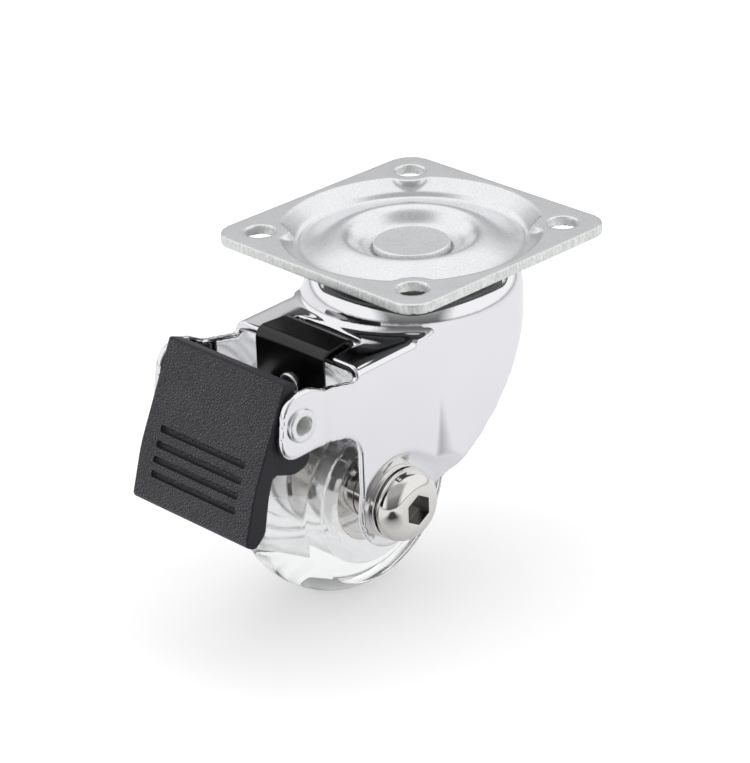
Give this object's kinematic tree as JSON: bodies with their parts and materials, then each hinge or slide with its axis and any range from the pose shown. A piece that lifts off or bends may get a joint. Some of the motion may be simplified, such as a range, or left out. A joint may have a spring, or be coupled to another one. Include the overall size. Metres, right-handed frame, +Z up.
{
  "type": "braked swivel castor",
  "caption": "Swivel castor with a square dished mounting plate, a chromed pressed fork, a clear wheel on an axle screw and a hinged foot brake pedal.",
  "frame": {"origin": "centre of the top plate's flat mounting face, on the kingpin axis", "axes": "+Z up out of the mounting face, +X from the kingpin towards the brake pedal, +Y along the axle towards the side of the socket screw head"},
  "size_m": [0.0961, 0.06, 0.0745],
  "materials": {
    "zinc_plate": "bright zinc plating on pressed steel",
    "zinc_pin": "satin zinc plating",
    "ball_steel": "polished ball steel",
    "chrome": "mirror chrome on pressed steel",
    "polished_steel": "polished nickel-plated steel",
    "clear_tyre": "water-clear polyurethane",
    "clear_core": "water-clear plastic",
    "black_plastic": "fine leather grain",
    "black_steel": "glossy black spring steel",
    "black_rubber": "matt"
  },
  "bodies": {
    "mount_body": {"top_plate": "zinc_plate", "kingpin": "zinc_pin", "lower_race_cup": "zinc_plate"},
    "race_balls": {"upper_race_balls": "ball_steel", "lower_race_balls": "ball_steel"},
    "fork_body": {"fork": "chrome", "axle_screw": "polished_steel", "sleeve_nut": "polished_steel", "axle_washer_near": "polished_steel", "axle_washer_far": "polished_steel", "axle_spacer_near": "polished_steel", "axle_spacer_far": "polished_steel", "bearing_spacer": "polished_steel", "bearing_inner_ring_near": "polished_steel", "bearing_inner_ring_far": "polished_steel", "pivot_tube": "zinc_pin"},
    "wheel": {"wheel_tyre": "clear_tyre", "wheel_core": "clear_core", "bearing_outer_ring_near": "polished_steel", "bearing_outer_ring_far": "polished_steel", "bearing_shields_near": "polished_steel", "bearing_shields_far": "polished_steel"},
    "wheel_balls": {"bearing_balls_near": "ball_steel", "bearing_balls_far": "ball_steel"},
    "pedal": {"brake_pedal": "black_plastic"},
    "brake_shoe": {"brake_spring": "black_steel", "brake_pad": "black_rubber", "pad_rivet": "zinc_pin"}
  },
  "joints": [
    {"name": "swivel", "type": "hinge", "parent": "mount_body", "child": "fork_body", "pos_m": [0, 0, -0.0079], "axis": [0, 0, 1], "continuous": true},
    {"name": "race_roll", "type": "hinge", "parent": "mount_body", "child": "race_balls", "pos_m": [0, 0, -0.0079], "axis": [0, 0, 1], "continuous": true},
    {"name": "wheel_spin", "type": "hinge", "parent": "fork_body", "child": "wheel", "pos_m": [0.0238, 0, -0.0495], "axis": [0, 1, 0], "continuous": true},
    {"name": "bearing_roll", "type": "hinge", "parent": "fork_body", "child": "wheel_balls", "pos_m": [0.0238, 0, -0.0495], "axis": [0, 1, 0], "continuous": true},
    {"name": "pedal_hinge", "type": "hinge", "parent": "fork_body", "child": "pedal", "pos_m": [0.0517, 0, -0.0208], "axis": [0, 1, 0], "range_deg": [0, 20]},
    {"name": "shoe_hinge", "type": "hinge", "parent": "fork_body", "child": "brake_shoe", "pos_m": [0.029, 0, -0.0158], "axis": [0, 1, 0], "range_deg": [0, 2.6]}
  ],
  "couplings": [
    {"joint": "race_roll", "follows": "swivel", "ratio": 0.5},
    {"joint": "bearing_roll", "follows": "wheel_spin", "ratio": 0.4},
    {"joint": "shoe_hinge", "follows": "pedal_hinge", "ratio": 0.12}
  ]
}
